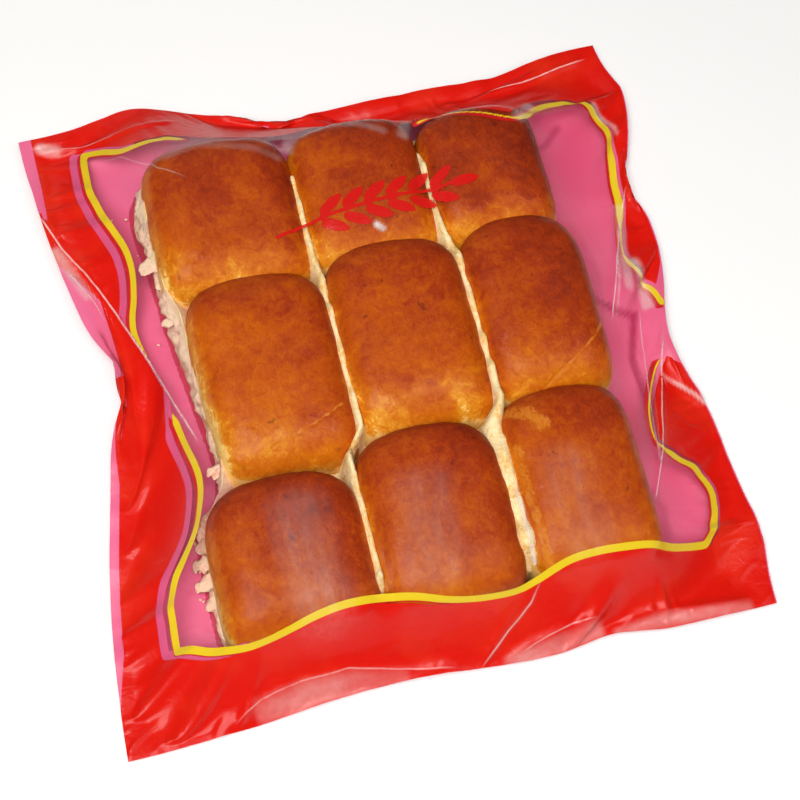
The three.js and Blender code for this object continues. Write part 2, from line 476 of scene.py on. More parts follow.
def makeCrumb():
    look = crumbLook
    material, tree = newMaterial("tornCrumb")
    x, height = objectAxis(tree, 0), objectAxis(tree, 2)
    fibres = noiseField(tree, look["fibreSize"], 4.0, 0.65, distortion=1.2)
    broad = noiseField(tree, look["broadSize"], 2.0)
    tone = (fibres * 0.6 + broad * 0.5).clamp()
    inner = colorRamp(tree, tone, [(0.34, look["shade"]), (0.48, look["cream"]), (0.60, look["pale"])])
    outer = colorRamp(tree, tone, [(0.36, look["pinkShade"]), (0.5, look["pink"]), (0.70, look["pinkPale"])])
    # painted light: pink low on the left side, where the back film would light the torn crumb
    low = (height + (broad - 0.5) * 12).ramp(*look["pinkBelow"])
    color = mixColor(tree, x.ramp(*look["sideFrom"]) * low, inner, outer)
    shader = addNode(tree, "ShaderNodeBsdfPrincipled", {
        "Base Color": color, "Normal": bumped(tree, fibres, 0.8, 0.0014),
        "Roughness": look["roughness"], "Specular IOR Level": look["specular"]})
    finishMaterial(tree, shader.outputs[0])
    return material


crumbBlock = {
    "near": -134, "far": 118, "right": 99, "bottom": 0.9,
    "rows": 168, "columns": 136, "sideRings": 20,  # points of the net over its top, and rings down its sides
    # torn left side as (y, x), from near to far: its foot, and the rim where the crust starts
    "leftFoot": [(-142, -115), (-100, -116), (-72, -115), (-60, -102), (-44, -98.5), (-28, -99.5), (0, -103),
                 (24, -106), (44, -108), (58, -109), (80, -111), (100, -113.5), (115, -113), (124, -108)],
    "leftRim": [(-142, -112.5), (-72, -112.5), (-60, -100.5), (-44, -98), (0, -100.8), (36, -102.8),
                (50, -107.5), (95, -108.5), (112, -106.8), (122, -101)],
    "rimHeight": [(-142, 9), (-72, 12), (-60, 33), (-30, 36), (60, 35), (100, 36), (122, 28)],
    "rimFall": 1.5,  # how steeply the top falls from that rim
    "bulge": 1.3,
    # unevenness as (height, size one way, size the other way, seed)
    "topNoise": [(1.3, 5, 7, 11), (0.8, 1.9, 2.4, 12)],
    "sideNoise": [(2.2, 9, 6, 13), (1.3, 3.4, 3, 14), (0.8, 1.8, 1.7, 15)],
    # joins between the columns in the far, middle and near rows: middle of the join and half its width
    "seams": [[(-30.7, 1.9), (-29.2, 1.9), (-38.5, 1.7)], [(38.5, 1.9), (42.5, 2.1), (35, 4.4)]],
    "seamTop": 43, "lowTop": 20, "seamSpread": 1.6, "seamUneven": 2.6,
    "rowJoins": (44, -55), "rowEase": 12,
    "farFade": (112, 16), "nearFade": (-137, 12),  # where the joins are at an end, and over what length
}


def smoothNoise(x, y, seed):  # soft random waves from -1 to 1, one to a unit
    cells = 97
    table = np.random.default_rng(seed).uniform(-1, 1, (cells, cells))
    i, j = np.floor(x).astype(int), np.floor(y).astype(int)
    s, t = x - i, y - j
    s, t = s * s * (3 - 2 * s), t * t * (3 - 2 * t)
    i, j, nextI, nextJ = i % cells, j % cells, (i + 1) % cells, (j + 1) % cells
    low = table[i, j] * (1 - s) + table[nextI, j] * s
    high = table[i, nextJ] * (1 - s) + table[nextI, nextJ] * s
    return low * (1 - t) + high * t


def layeredNoise(x, y, layers):
    return sum(high * smoothNoise(x / sizeX, y / sizeY, seed) for high, sizeX, sizeY, seed in layers)


def rowBlend(y, values):  # eases between the values of the far, middle and near rows
    (farJoin, nearJoin), ease = crumbBlock["rowJoins"], crumbBlock["rowEase"]
    far = np.clip((y - farJoin) / ease + 0.5, 0, 1)
    near = np.clip((nearJoin - y) / ease + 0.5, 0, 1)
    return values[0] * far + values[2] * near + values[1] * (1 - far - near)


def seamHeight(x, y):
    shape = crumbBlock
    low = shape["lowTop"]
    farEnd, farLength = shape["farFade"]
    nearEnd, nearLength = shape["nearFade"]
    stand = (shape["seamTop"] - low) * np.clip((farEnd - y) / farLength, 0, 1)
    stand = stand * np.clip((y - nearEnd) / nearLength, 0, 1)
    height = np.full_like(x, float(low))
    for seam in shape["seams"]:
        middle = rowBlend(y, [place for place, _ in seam])
        half = rowBlend(y, [width for _, width in seam]) * shape["seamSpread"]
        height = np.maximum(height, low + stand * np.exp(-((x - middle) / half) ** 4))
    return height + shape["seamUneven"] * smoothNoise(x / 40 + 7, y / 8, 16) * (height > low + 6)


def makeTornCrumb(material):
    shape = crumbBlock
    rows, columns = shape["rows"], shape["columns"]
    y = np.linspace(shape["near"], shape["far"], rows)
    left = np.interp(y, *zip(*shape["leftRim"]))
    outset = left - np.interp(y, *zip(*shape["leftFoot"]))
    share = np.linspace(0, 1, columns)[None, :] ** 1.3
    gridY = np.repeat(y[:, None], columns, 1)
    gridX = left[:, None] * (1 - share) + shape["right"] * share
    rimHeight = np.interp(y, *zip(*shape["rimHeight"]))[:, None]
    height = np.maximum(seamHeight(gridX, gridY), rimHeight - shape["rimFall"] * (gridX - left[:, None]))
    height[:, 0] = rimHeight[:, 0]
    height += layeredNoise(gridX, gridY, shape["topNoise"])
    top = np.stack([gridX, gridY, height], -1)
    rim = np.concatenate([top[0, :-1], top[:-1, -1], top[-1, :0:-1], top[:0:-1, 0]])
    index = np.arange(rows * columns).reshape(rows, columns)
    loop = np.concatenate([index[0, :-1], index[:-1, -1], index[-1, :0:-1], index[:0:-1, 0]])
    points = [top.reshape(-1, 3)]
    faces = gridFaces(rows, columns).tolist()
    onLeft = np.isclose(rim[:, 0], np.interp(rim[:, 1], y, left))
    foot = rim.copy()
    foot[:, 0] -= np.where(onLeft, np.interp(rim[:, 1], y, outset), 0)
    foot[:, 2] = shape["bottom"]
    count = rows * columns
    for ring in range(1, shape["sideRings"] + 1):
        t = ring / shape["sideRings"]
        level = rim * (1 - t) + foot * t
        rough = layeredNoise(level[:, 1], level[:, 2], shape["sideNoise"])
        bulge = (shape["bulge"] + 0.85 * rough) * math.sin(math.pi * min(1, t * 1.1)) + 0.7 * rough * t
        level[:, 0] -= np.where(onLeft, bulge, 0)
        points.append(level)
        fresh = count + np.arange(len(level))
        faces += np.stack([loop, fresh, np.roll(fresh, -1), np.roll(loop, -1)], 1).tolist()
        loop = fresh
        count += len(level)
    faces.append(loop[::-1].tolist())
    return newObject("tornCrumb", newMesh("tornCrumb", np.concatenate(points), faces), material)


# Flaps that were torn off the side: where they start and end, half width and thickness.
crumbFlaps = [
    ((-105, 66, 30), (-117, 72, 20), 6.0, 0.8), ((-105, 57, 24), (-111, 59, 20), 3.4, 0.8),
    ((-103, 36, 26), (-112, 38, 18), 3.4, 0.7), ((-98, -50, 24), (-106, -47, 19), 4.2, 0.8),
    ((-111, -83, 14), (-119, -81, 6), 3.8, 0.7), ((-111, -91, 14), (-122, -89, 4.5), 4.6, 0.8),
    ((-111, -100, 13), (-123, -101, 3.5), 4.4, 0.7), ((-111, -109, 12), (-120, -112, 3.5), 3.8, 0.6),
]

crumbBits = {"count": 22, "seed": 3, "size": (0.35, 0.8), "x": (-126, -112), "y": (-128, 118),
             "bottom": 1.2}
crumbLump = {"rings": 13, "sides": 18, "taper": 0.25, "uneven": 0.42, "rough": 0.22}


def addLump(points, faces, start, end, half, thick, seed):
    # A small torn lump: a stretched ball that narrows towards its end, with an uneven skin.
    start, end = np.array(start, float), np.array(end, float)
    along = end - start
    across = np.cross(along, (0, 0, 1.0))
    across /= np.linalg.norm(across)
    up = np.cross(across, along / np.linalg.norm(along))
    rings, sides = crumbLump["rings"], crumbLump["sides"]
    lats = np.linspace(0, math.pi, rings)[:, None]
    turns = np.arange(sides)[None, :] * 2 * math.pi / sides
    forward = -np.cos(lats) + 0 * turns
    wide = np.sin(lats) ** 0.6 * (1 - crumbLump["taper"] * (forward + 1) / 2)
    uneven = 1 + crumbLump["uneven"] * smoothNoise(forward * 2.5 + seed, np.cos(turns) * 3 + seed, seed)
    uneven += crumbLump["rough"] * smoothNoise(forward * 6 + seed, np.sin(turns) * 6 + seed, seed + 1)
    spots = ((start + end) / 2 + along / 2 * forward[..., None]
             + across * (half * wide * uneven * np.cos(turns))[..., None]
             + up * (thick * wide * uneven * np.sin(turns))[..., None])
    first = sum(len(p) for p in points)
    points.append(spots[1:-1].reshape(-1, 3))
    points.append(np.array([spots[0].mean(0), spots[-1].mean(0)]))
    body = rings - 2
    for ring in range(body - 1):
        for k in range(sides):
            a, b = first + ring * sides + k, first + ring * sides + (k + 1) % sides
            faces.append([b, a, a + sides, b + sides])
    low, high = first + body * sides, first + body * sides + 1
    for k in range(sides):
        faces.append([first + k, first + (k + 1) % sides, low])
        last = first + (body - 1) * sides
        faces.append([last + (k + 1) % sides, last + k, high])


def makeCrumbBits(material):
    points, faces = [], []
    for index, (start, end, half, thick) in enumerate(crumbFlaps):
        addLump(points, faces, start, end, half, thick, 30 + index)
    rng = np.random.default_rng(crumbBits["seed"])
    for index in range(crumbBits["count"]):
        x, y = rng.uniform(*crumbBits["x"]), rng.uniform(*crumbBits["y"])
        size = rng.uniform(*crumbBits["size"])
        turn = rng.uniform(0, math.pi)
        reach = 2 * size * rng.uniform(1.0, 1.7)
        start = (x, y, crumbBits["bottom"] + size)
        end = (x + reach * math.cos(turn), y + reach * math.sin(turn), start[2] + 0.2)
        addLump(points, faces, start, end, size, size * 0.8, 60 + index)
    return newObject("crumbBits", newMesh("crumbBits", np.concatenate(points), faces), material)


crumb = makeCrumb()
tornCrumb = makeTornCrumb(crumb)
crumbPieces = [tornCrumb, makeCrumbBits(crumb)]
print("crumb faces", sum(len(piece.data.polygons) for piece in crumbPieces))

bag = {
    "corners": {"nearLeft": (-170, -175.5), "nearRight": (158, -172), "farRight": (164, 168),
                "farLeft": (-166, 168)},
    "flatSize": (339, 358),  # the cut size of one film, before the rolls raise it
    "sealHeight": {"near": 3, "right": 6, "far": 8, "left": 4},
    "liftPerGather": 0.25,
    "filmGap": 0.4,  # between the film and the crust that it touches
    "sagRate": 0.011,  # how much the film hangs between what holds it up, for each millimetre squared
    "sagOnBlock": 0.25, "blockAbove": 10,  # share of that where the contents stand higher than this
    "cells": (272, 280), "span": 340,  # cells of the finest net, and the width that they are spread over
    "backRise": 30,  # how far in from the edge the back film comes up to meet the front
    "backHeight": 0.05,
    "backGap": 0.35, "gapEase": 8,  # between the films, and how far in from the edge they part that much
    "backFlatFrom": 34, "backFlatOver": 30,  # how far in the points of the back film take up an even net
    "weight": 0.012,  # what each round of settling lowers the film by
    "stir": 0.06,  # unevenness that starts the buckling
    "seed": 5,
}

# Where the film is drawn in from a straight side: (middle of the pull, depth, spread). Negative bulges out.
gathers = {
    "near": [(-45, 6, 60), (72, 4, 20)],
    "right": [(-20, 11.5, 34), (75, 8, 17), (133, -7.5, 30), (-135, -3.5, 30)],
    "far": [(20, 15, 85), (-28, 13, 15), (100, 5, 30), (-100, -9, 35)],
    "left": [(8, 20, 90), (14, 11, 22)],
}


# Waves along the edges: length of one wave, whether each side has its own, seed and height.
edgeWaves = [(26, 1, 21, 1.6), (9, 0, 22, 0.6)]
rims = ((0,), (-1,), (slice(None), 0), (slice(None), -1))  # the four edges of a net


def sidePoints(side, start, end, t):
    x = start[0] + (end[0] - start[0]) * t
    y = start[1] + (end[1] - start[1]) * t
    along = x if side in ("near", "far") else y
    pull = sum(depth * np.exp(-((along - at) / spread) ** 2) for at, depth, spread in gathers[side])
    fade = np.minimum(1, 12 * t * (1 - t))
    inward = {"near": (0, 1), "right": (-1, 0), "far": (0, -1), "left": (1, 0)}[side]
    height = bag["sealHeight"][side] + bag["liftPerGather"] * np.abs(fade * pull)
    wave = sum(smoothNoise(along / size, along * 0 + len(side) * own, seed) * high
               for size, own, seed, high in edgeWaves)
    height = np.maximum(height + fade * wave, 1.0)
    return np.stack([x + inward[0] * fade * pull, y + inward[1] * fade * pull, height], -1)


def bagNet(across, along):
    # Fills the inside of the four sides with a smooth patch of (along + 1) x (across + 1) points.
    corners = bag["corners"]
    u = np.linspace(0, 1, across + 1)
    v = np.linspace(0, 1, along + 1)
    near = sidePoints("near", corners["nearLeft"], corners["nearRight"], u)
    far = sidePoints("far", corners["farLeft"], corners["farRight"], u)
    left = sidePoints("left", corners["nearLeft"], corners["farLeft"], v)
    right = sidePoints("right", corners["nearRight"], corners["farRight"], v)
    c00, c10 = (near[0] + left[0]) / 2, (near[-1] + right[0]) / 2
    c01, c11 = (far[0] + left[-1]) / 2, (far[-1] + right[-1]) / 2
    u, v = u[None, :, None], v[:, None, None]
    ruled = near[None] * (1 - v) + far[None] * v + left[:, None] * (1 - u) + right[:, None] * u
    return ruled - (c00 * (1 - u) * (1 - v) + c10 * u * (1 - v) + c01 * (1 - u) * v + c11 * u * v)


contentsRaster = {"reach": 150, "above": 200}  # half its size, and the height the rays start from


def measureContents(pieces):
    # Heights of the rolls and the crumb on a raster of one millimetre.
    points, faces = [], []
    for piece in pieces:
        first = len(points)
        points += [vertex.co.copy() for vertex in piece.data.vertices]
        faces += [[first + i for i in polygon.vertices] for polygon in piece.data.polygons]
    tree = BVHTree.FromPolygons(points, faces)
    reach, start = contentsRaster["reach"], contentsRaster["above"] * mm
    heights = np.zeros((2 * reach + 1, 2 * reach + 1))
    down = Vector((0, 0, -1))
    for i in range(2 * reach + 1):
        for j in range(2 * reach + 1):
            hit = tree.ray_cast(Vector(((j - reach) * mm, (i - reach) * mm, start)), down)[0]
            if hit is not None:
                heights[i, j] = hit.z / mm
    return heights


def heightUnder(points):
    reach = contentsRaster["reach"]
    x = np.clip(points[..., 0] + reach, 0, 2 * reach - 0.001)
    y = np.clip(points[..., 1] + reach, 0, 2 * reach - 0.001)
    i, j = y.astype(int), x.astype(int)
    s, t = x - j, y - i
    near = contentsHeights[i, j] * (1 - s) + contentsHeights[i, j + 1] * s
    far = contentsHeights[i + 1, j] * (1 - s) + contentsHeights[i + 1, j + 1] * s
    return near * (1 - t) + far * t


def edgeGaps(rows, columns):  # distance from the four sides, in millimetres, for each point of a net
    width, length = bag["flatSize"]
    i, j = np.mgrid[0:rows, 0:columns]
    return (i * length / (rows - 1), (columns - 1 - j) * width / (columns - 1),
            (rows - 1 - i) * length / (rows - 1), j * width / (columns - 1))


def backHeights(net):
    # The back film lies flat and comes up to the seals in the outer part.
    rows, columns = net.shape[:2]
    seals = (net[:1, :, 2], net[:, -1:, 2], net[-1:, :, 2], net[:, :1, 2])
    height = np.zeros((rows, columns))
    for gap, rim in zip(edgeGaps(rows, columns), seals):
        t = np.clip(gap / bag["backRise"], 0, 1)
        height = np.maximum(height, rim * (1 - t * t * (3 - 2 * t)))
    return height + bag["backHeight"]


def filmFloor(points, back):
    # The lowest that the front film may lie: over the contents and over the back film.
    share = np.clip(np.min(edgeGaps(*points.shape[:2]), 0) / bag["gapEase"], 0, 1)
    return np.maximum(heightUnder(points) + bag["filmGap"], back + bag["backGap"] * share)


def finer(points):  # twice as many cells each way
    rows, columns = points.shape[0] * 2 - 1, points.shape[1] * 2 - 1
    net = np.empty((rows, columns, 3))
    net[::2, ::2] = points
    net[1::2, ::2] = (points[:-1] + points[1:]) / 2
    net[:, 1::2] = (net[:, :-2:2] + net[:, 2::2]) / 2
    return net


def restOnContents(net, rounds, cell):
    # Pinned at the seals and stretched smoothly over the contents, with a slight hang.
    floor = filmFloor(net, backHeights(net))
    height = np.maximum(net[:, :, 2], floor)
    onBlock = heightUnder(net) > bag["blockAbove"]
    sag = np.where(onBlock, bag["sagOnBlock"], 1.0)[1:-1, 1:-1] * bag["sagRate"] * cell * cell
    for _ in range(rounds):
        mean = (height[1:-1, :-2] + height[1:-1, 2:] + height[:-2, 1:-1] + height[2:, 1:-1]) / 4
        height[1:-1, 1:-1] = np.maximum(floor[1:-1, 1:-1], mean - sag)
    net[1:-1, 1:-1, 2] = height[1:-1, 1:-1]
    return net


def filmLinks(rows, columns):
    # Links between neighbours along, across and aslant, in groups where no point comes twice.
    width, length = bag["flatSize"][0] / (columns - 1), bag["flatSize"][1] / (rows - 1)
    aslant = math.hypot(width, length)
    rest = {(0, 1): width, (1, 0): length, (1, 1): aslant, (1, -1): aslant}
    mobile = np.zeros((rows, columns, 1))
    mobile[1:-1, 1:-1] = 1
    links = []
    for (di, dj), size in rest.items():
        for start in (0, 1):
            if di == 0:
                count = (columns - start) // 2
                a = (slice(None), slice(start, start + 2 * count, 2))
                b = (slice(None), slice(start + 1, start + 2 * count, 2))
            else:
                count = (rows - start) // 2
                fromJ, toJ = max(0, -dj), columns - max(0, dj)
                a = (slice(start, start + 2 * count, 2), slice(fromJ, toJ))
                b = (slice(start + 1, start + 2 * count, 2), slice(fromJ + dj, toJ + dj))
            total = np.maximum(mobile[a] + mobile[b], 1)
            links.append((a, b, size, mobile[a] / total, mobile[b] / total))
    return links


def crumpleFilm(points, rounds, smoothing):
    # Lets the film take its cut size again, so that it buckles where it was drawn in.
    links = filmLinks(*points.shape[:2])
    back = backHeights(points)
    inner = (slice(1, -1), slice(1, -1))
    for _ in range(rounds):
        points[inner + (2,)] -= bag["weight"]
        for a, b, rest, shareA, shareB in links:
            gap = points[b] - points[a]
            size = np.sqrt((gap * gap).sum(-1, keepdims=True))
            pull = gap * (1 - rest / size)
            points[a] += pull * shareA
            points[b] -= pull * shareB
        mean = (points[1:-1, :-2] + points[1:-1, 2:] + points[:-2, 1:-1] + points[2:, 1:-1]) / 4
        points[inner] += (mean - points[inner]) * smoothing
        points[inner + (2,)] = np.maximum(points[inner + (2,)], filmFloor(points, back)[inner])
    return points


settling = [  # cells of the finest net joined in one, rounds stretched, rounds crumpled, smoothing
    (8, 600, 0, 0.0), (4, 300, 500, 0.02), (2, 0, 300, 0.03), (1, 0, 120, 0.05),
]


def settleFilm():
    across, along = bag["cells"]
    cell = bag["span"] / across
    points = None
    for joined, stretched, crumpled, smoothing in settling:
        if points is None:
            points = bagNet(across // joined, along // joined)
        else:
            points = finer(points)
            rim = bagNet(across // joined, along // joined)
            for edge in rims:
                points[edge] = rim[edge]
        if stretched:
            points = restOnContents(points, stretched, cell * joined)
        if crumpled:
            rng = np.random.default_rng(bag["seed"])
            points[1:-1, 1:-1, 2] += rng.normal(0, bag["stir"] * joined, points[1:-1, 1:-1, 2].shape)
            points = crumpleFilm(points, crumpled, smoothing)
    return points


contentsHeights = measureContents([*rollPieces, tornCrumb])
print("contents measured")
filmNet = settleFilm()
print("film settled", filmNet.shape, "top", round(float(filmNet[:, :, 2].max()), 1))

# Creases in the film, in plan. A ridge falls away on both sides; a step is a lap of film that lies over its
# right-hand neighbour, and stands highest on the left of its path.
folds = {
    "leftPleat": dict(path=[(-163, 122), (-154, 97), (-145, 81), (-133, 53), (-122, 21), (-116, -2),
                            (-107, -36)], rise=2.0, spread=7, step=True),
    "leftBand": dict(path=[(-156, 90), (-149, 74), (-143, 60), (-139, 44)], rise=1.6, spread=3),
    "rightTent": dict(path=[(154, 73), (143, 50), (129, 18), (114, -16)], rise=1.6, spread=2.6),
    "rightRidge": dict(path=[(148, -14), (136, -47), (125, -76), (117, -92), (101, -120)], rise=1.8,
                       spread=2.4),
    "rightValley": dict(path=[(139, 2), (129, -41), (121, -71), (115, -94)], rise=1.2, spread=3),
    "nearLap": dict(path=[(3, -172), (19, -158), (32, -149), (39, -140)], rise=1.6, spread=5, step=True),
    "nearCrease": dict(path=[(3, -171), (16, -156), (25, -147)], rise=1.2, spread=2.5),
    "nearSeal": dict(path=[(-130, -174), (-111, -167), (-98, -162), (-81, -160), (-60, -159), (-36, -164),
                           (-5, -168)], rise=2.6, spread=7),
    "nearSealRight": dict(path=[(14, -171), (29, -166), (53, -162), (66, -161)], rise=2.2, spread=5),
    "nearCorner": dict(path=[(72, -168), (85, -163), (98, -163), (129, -167), (146, -168)], rise=2.2,
                       spread=5),
    "farSealLeft": dict(path=[(-158, 160), (-132, 158), (-101, 159), (-80, 159)], rise=1.4, spread=3),
    "farSealRight": dict(path=[(158, 161), (140, 156), (114, 148), (89, 144), (62, 142)], rise=1.4,
                         spread=3),
}

# A fold dies out over its ends. A step rises over the width of its lap and leaves a dip beyond it. No fold
# sinks deeper than this below the lowest place that the film may take.
foldShape = {"ends": 8, "lap": 2.6, "dip": 0.25, "sharpness": 1.3, "sink": 0.1}

crinkles = {  # short creases strewn near the seals: how many, their length, height and spread
    "count": 90, "length": (8, 30), "rise": (0.2, 0.6), "spread": (1.4, 3.0), "seed": 8,
    "fromEdge": (3, 26), "turn": 0.7, "bend": 0.12,
}


def pressFold(net, path, rise, spread, step=False):
    near, side, along, length = pathPlace(net, path)
    ends = np.clip(np.minimum(along, length - along) / min(foldShape["ends"], length / 2), 0, 1)
    if step:
        lap = np.clip(0.5 + near * np.sign(side) / foldShape["lap"], 0, 1)
        raised = (1 + foldShape["dip"]) * lap * lap * (3 - 2 * lap) - foldShape["dip"]
        shape = np.exp(-near / spread) * raised
    else:
        shape = np.clip(1 - near / spread, 0, 1) ** foldShape["sharpness"]
    net[..., 2] += rise * shape * ends


def strewCrinkles(net):
    rng = np.random.default_rng(crinkles["seed"])
    gap = np.min(edgeGaps(*net.shape[:2]), 0)
    least, most = crinkles["fromEdge"]
    spots = np.argwhere((gap > least) & (gap < most))
    for i, j in spots[rng.integers(0, len(spots), crinkles["count"])]:
        middle = net[i, j, :2]
        inward = -middle / np.hypot(*middle)
        turn = rng.normal(0, crinkles["turn"])
        direction = np.array([inward[0] * math.cos(turn) - inward[1] * math.sin(turn),
                              inward[0] * math.sin(turn) + inward[1] * math.cos(turn)])
        half = rng.uniform(*crinkles["length"]) / 2
        bend = rng.normal(0, crinkles["bend"]) * half * np.array([-direction[1], direction[0]])
        rise = rng.uniform(*crinkles["rise"]) * rng.choice([-1, 1, 1])
        pressFold(net, [middle - direction * half, middle + bend, middle + direction * half],
                  rise, rng.uniform(*crinkles["spread"]))


def creaseFilm(net):
    for fold in folds.values():
        pressFold(net, **fold)
    strewCrinkles(net)
    floor = filmFloor(net, backHeights(net)) - foldShape["sink"]
    net[1:-1, 1:-1, 2] = np.maximum(net[..., 2], floor)[1:-1, 1:-1]
    return net


filmNet = creaseFilm(filmNet)
print("film creased")

printing = {
    # Middle of the printed line round the window, in plan, with the sharp corners marked. It was printed in
    # layers that are a little out of place: a red line under the yellow one, and the red border.
    "corners": {"farLeft": (-133, 153), "nearLeft": (-138, -132), "nearRight": (131, -136),
                "farRight": (143, 124)},
    "left": [(-134, 145), (-134, 126), (-132, 115), (-129, 103), (-125, 92), (-122, 82), (-121, 70),
             (-123, 57), (-126, 46), (-126, 34), (-121, 12), (-117, -8), (-114, -29), (-111, -46),
             (-111, -58), (-114, -70), (-118, -80), (-126, -91), (-132, -99), (-136, -109), (-137, -119)],
    "near": [(-132, -134), (-121, -139), (-109, -142), (-98, -142), (-86, -140), (-73, -137), (-58, -135),
             (-40, -135), (-25, -138), (-10, -142), (6, -144), (24, -144), (37, -141), (52, -137),
             (68, -136), (86, -137), (103, -138), (119, -137)],
    "right": [(136, -130), (141, -121), (143, -108), (139, -98), (128, -90), (119, -84), (118, -76),
              (122, -62), (128, -50), (136, -37), (143, -27), (148, -15), (151, -4), (149, 8), (143, 16),
              (139, 24), (139, 36), (143, 49), (147, 62), (149, 78), (152, 93), (153, 105), (150, 117)],
    "far": [(136, 129), (129, 128), (120, 125), (111, 119), (103, 110), (95, 104), (88, 105), (77, 110),
            (65, 114), (54, 116), (45, 115), (37, 114), (29, 123), (-40, 127), (-66, 130), (-80, 136),
            (-90, 141), (-100, 142), (-113, 144), (-123, 150)],
    "lineHalf": 2.0,
    # how much of that half width is gone where folds hide the line: by x on the far side, by y on the right
    "farLoss": [(-84, 0), (-76, 3), (35, 3), (42, 1.25), (92, 1.25), (102, 0)],
    "rightLoss": [(-90, 0), (-82, 1.3), (-32, 1.4), (-26, 3.5), (-8, 3.5), (0, 0.4), (24, 0.5), (30, 1.3),
                  (46, 1.3), (56, 0)],
    "lossBeyond": 100,
    "underHalf": 1.8, "underShift": (-2.0, -0.5), "underShiftNear": (-0.5, -0.6),
    "underFrom": -90, "underOver": 40,  # where along the left side the one shift turns into the other
    "borderOut": 2.3, "borderShift": (1.5, 0.9), "borderShiftLeft": (-5.6, 0.5),
    # painted light: a pink stripe between the line and the border that hides the shadow the border throws on
    # the back film, left of this place only
    "pinkWidth": 4.4, "pinkFrom": -104, "pinkFade": 3,
    "evenRounds": 24,  # of evening the film before it is printed
    # clear margin outside the border, as (y, width)
    "leftMargin": [(-180, 0), (-150, 0), (-125, 4.5), (-40, 4.5), (-5, 0), (60, 0), (95, 0.5), (108, 2),
                   (122, 4), (140, 5.5), (170, 7)],
    "rightMargin": [(-180, 0.6), (-36, 0.8), (-27, 13), (4, 13), (12, 4), (24, 0.8), (170, 0.4)],
}


def roundedPath(corners, sides, perPiece=6):
    # A closed curve through all the points, sharp at the corners only.
    curve = []
    names = ["farLeft", "nearLeft", "nearRight", "farRight"]
    for index, side in enumerate(("left", "near", "right", "far")):
        first, last = corners[names[index]], corners[names[(index + 1) % 4]]
        stops = np.array([first, *sides[side], last], float)
        padded = np.vstack([2 * stops[0] - stops[1], stops, 2 * stops[-1] - stops[-2]])
        for k in range(1, len(padded) - 2):
            p0, p1, p2, p3 = padded[k - 1:k + 3]
            for t in np.arange(perPiece) / perPiece:
                curve.append(0.5 * (2 * p1 + (p2 - p0) * t + (2 * p0 - 5 * p1 + 4 * p2 - p3) * t * t
                                    + (3 * p1 - p0 - 3 * p2 + p3) * t ** 3))
    return np.array(curve)


def evened(net):  # the film without its small creases, so that the print runs smoothly over them
    net = net.copy()
    for _ in range(printing["evenRounds"]):
        z = net[..., 2]
        z[1:-1, 1:-1] = (z[1:-1, :-2] + z[1:-1, 2:] + z[:-2, 1:-1] + z[2:, 1:-1]) / 4
    return net


def filmTree(net):
    return BVHTree.FromPolygons((net.reshape(-1, 3)).tolist(), gridFaces(*net.shape[:2]).tolist())


def liftedPath(path, tree):  # the path in plan laid on the film
    down = Vector((0, 0, -1))
    hits = [tree.ray_cast(Vector((x, y, contentsRaster["above"])), down)[0] for x, y in path]
    heights = [hit.z if hit else 0 for hit in hits]
    heights = np.convolve([*heights[-2:], *heights, *heights[:2]], np.ones(5) / 5, "valid")
    return np.column_stack([path, heights])


def pathGap(points, path):  # distance in space from each point to the closed path
    nearest = np.full(points.shape[:2], 1e9)
    for start, end in zip(path, np.roll(path, -1, 0)):
        step = end - start
        t = np.clip(((points - start) @ step) / (step @ step), 0, 1)
        away = points - start - t[..., None] * step
        nearest = np.minimum(nearest, (away * away).sum(-1))
    return np.sqrt(nearest)


def insidePath(points, path):
    inside = np.zeros(points.shape[:2], bool)
    x, y = points[..., 0], points[..., 1]
    for (x0, y0), (x1, y1) in zip(path, np.roll(path, -1, 0)):
        if y0 != y1:
            inside ^= ((y0 > y) != (y1 > y)) & (x < (x1 - x0) * (y - y0) / (y1 - y0) + x0)
    return inside


wheat = {  # an ear of wheat in the border's red, printed over the middle of the far rolls
    "stem": [(-47, 60), (-24, 67), (8, 71), (50, 73)], "stemHalf": 0.9,
    "first": 26, "pitch": 12, "pairs": 7, "grainLength": 15, "grainHalf": 2.5, "lean": 30, "stand": 6.0,
}

# Where the pleat on the left tucks the film under, the line is hidden and the border is out of step.
tuck = {
    "lineHiddenAbove": -4, "lineWholeBelow": -18,
    "borderFrom": -24, "borderWholeAbove": 4,
    "marginAbove": 16, "borderEdge": [(-150, 78), (-140, 64), (-138, 45), (-136, 18)],
}

# Painted sheen where doubled film or a facet of it shines white: path in plan, half width and strength.
sheen = [
    ([(-158, 97), (-152, 82), (-145, 66)], 2.8, 0.34),
    ([(146, 62), (139, 34), (133, 8)], 2.6, 0.30),
    ([(142, 26), (144, 12), (144, 0)], 3.0, 0.40),
    ([(139, -40), (147, -48), (157, -60)], 1.0, 0.5),
    ([(149, 124), (154, 116), (159, 108)], 1.6, 0.55),
    ([(-92, 118), (-77, 122), (-62, 118), (-48, 113), (-36, 106)], 2.0, 0.12),
    ([(-31, 110), (-27, 118)], 3.0, 0.26),
    ([(-20, 120), (-6, 122), (10, 118), (22, 110)], 2.0, 0.13),
    ([(31, 106), (34, 114), (36, 120)], 2.8, 0.30),
    ([(46, 118), (62, 121), (82, 117)], 1.6, 0.10),
    ([(94, 104), (101, 113), (110, 124)], 3.0, 0.26),
    ([(-156, 162), (-146, 159)], 2.6, 0.5),
    ([(5, 58), (8, 55)], 1.5, 0.8),
    ([(-106, -168), (-84, -165), (-60, -165), (-34, -169)], 5.0, 0.22),
    ([(17, -172), (40, -169), (66, -166)], 3.6, 0.24),
    ([(74, -170), (98, -168), (144, -171)], 3.2, 0.26),
    ([(36, -96), (36, -114), (36, -134)], 0.9, 0.6),
]

